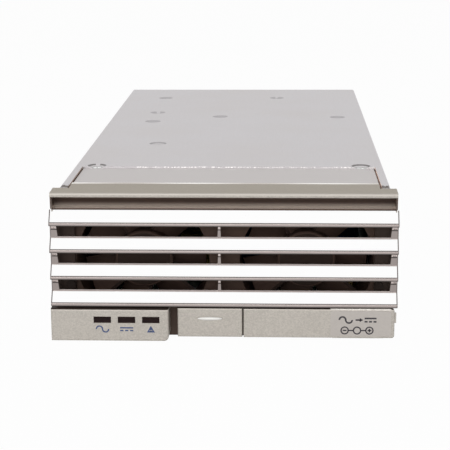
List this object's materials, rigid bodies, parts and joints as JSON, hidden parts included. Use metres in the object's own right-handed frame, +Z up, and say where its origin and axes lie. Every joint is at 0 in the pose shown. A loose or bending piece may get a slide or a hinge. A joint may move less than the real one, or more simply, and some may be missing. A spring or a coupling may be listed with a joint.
{
  "type": "power supply module",
  "caption": "Plug-in AC to DC power supply module: long flat sheet-metal case, visor lip and bright louvre over cooling fans, indicator panel, sliding latch and swing-out ejector lever.",
  "frame": {"origin": "middle of the tray's flat underside", "axes": "+X to the right seen from the front, +Y from the front to the back, +Z up"},
  "size_m": [0.146, 0.33, 0.0649],
  "materials": {
    "case_sheet": "satin",
    "screw_steel": "satin",
    "bare_steel": "satin",
    "bezel_paint": "metallic satin paint",
    "bright_plating": "polished",
    "dark_lens": "gloss",
    "lamp_resin": "gloss",
    "board_laminate": "satin",
    "fan_plastic": "matt",
    "spacer_brass": "satin",
    "insulator_film": "satin",
    "sink_aluminium": "extruded",
    "chip_resin": "matt",
    "ferrite": "matt",
    "winding_copper": "enamelled",
    "can_sleeve": "gloss",
    "film_box": "matt",
    "fuse_body": "satin",
    "plug_plastic": "matt",
    "contact_gold": "plated"
  },
  "bodies": {
    "case": {"chassis_tray": "case_sheet", "top_cover": "case_sheet", "rear_panel": "case_sheet", "cover_screws": "screw_steel", "rear_screws": "screw_steel", "bezel_screws": "screw_steel", "board_screws": "screw_steel", "fan_rivets": "fan_plastic", "hinge_screws": "screw_steel", "front_bezel": "bezel_paint", "indicator_panel": "bezel_paint", "louvre_grille": "bright_plating", "input_lens": "dark_lens", "output_lens": "dark_lens", "alarm_lens": "dark_lens", "indicator_leds": "lamp_resin", "indicator_board": "board_laminate", "main_board": "board_laminate", "control_board": "board_laminate", "latch_spring": "bare_steel", "lever_pin": "bare_steel", "hinge_bracket": "bare_steel", "fan_bracket": "case_sheet", "fan_frame_left": "fan_plastic", "fan_frame_right": "fan_plastic", "board_standoffs": "spacer_brass", "insulator_sheet": "insulator_film", "heatsink_left": "sink_aluminium", "heatsink_right": "sink_aluminium", "heatsink_rear": "sink_aluminium", "power_transistors": "chip_resin", "transformer_core": "ferrite", "boost_choke_core": "ferrite", "transformer_winding": "winding_copper", "boost_choke_winding": "winding_copper", "transformer_clamp": "bare_steel", "boost_choke_clamp": "bare_steel", "filter_choke": "winding_copper", "output_choke": "winding_copper", "bulk_capacitors": "can_sleeve", "output_capacitors": "can_sleeve", "filter_capacitors": "film_box", "relay": "chip_resin", "fuse": "fuse_body", "rear_connector": "plug_plastic", "rear_contacts": "contact_gold", "output_busbars": "winding_copper"},
    "latch": {"release_latch": "bezel_paint", "latch_keeper": "bare_steel"},
    "lever": {"ejector_lever": "bezel_paint"},
    "rotor_left": {"fan_rotor_left": "fan_plastic"},
    "rotor_right": {"fan_rotor_right": "fan_plastic"}
  },
  "joints": [
    {"name": "latch_slide", "type": "slide", "parent": "case", "child": "latch", "axis": [-1, 0, 0], "range_m": [0, 0.003], "stiffness_N_per_m": 300, "springref_m": -0.004, "deforming": ["latch_spring"]},
    {"name": "lever_swing", "type": "hinge", "parent": "case", "child": "lever", "pos_m": [0.0664, -0.162, 0.0086], "axis": [0, 0, 1], "range_deg": [0, 65]},
    {"name": "fan_left_spin", "type": "hinge", "parent": "case", "child": "rotor_left", "pos_m": [-0.035, -0.14, 0.0315], "axis": [0, 1, 0], "continuous": true},
    {"name": "fan_right_spin", "type": "hinge", "parent": "case", "child": "rotor_right", "pos_m": [0.035, -0.14, 0.0315], "axis": [0, 1, 0], "continuous": true}
  ]
}
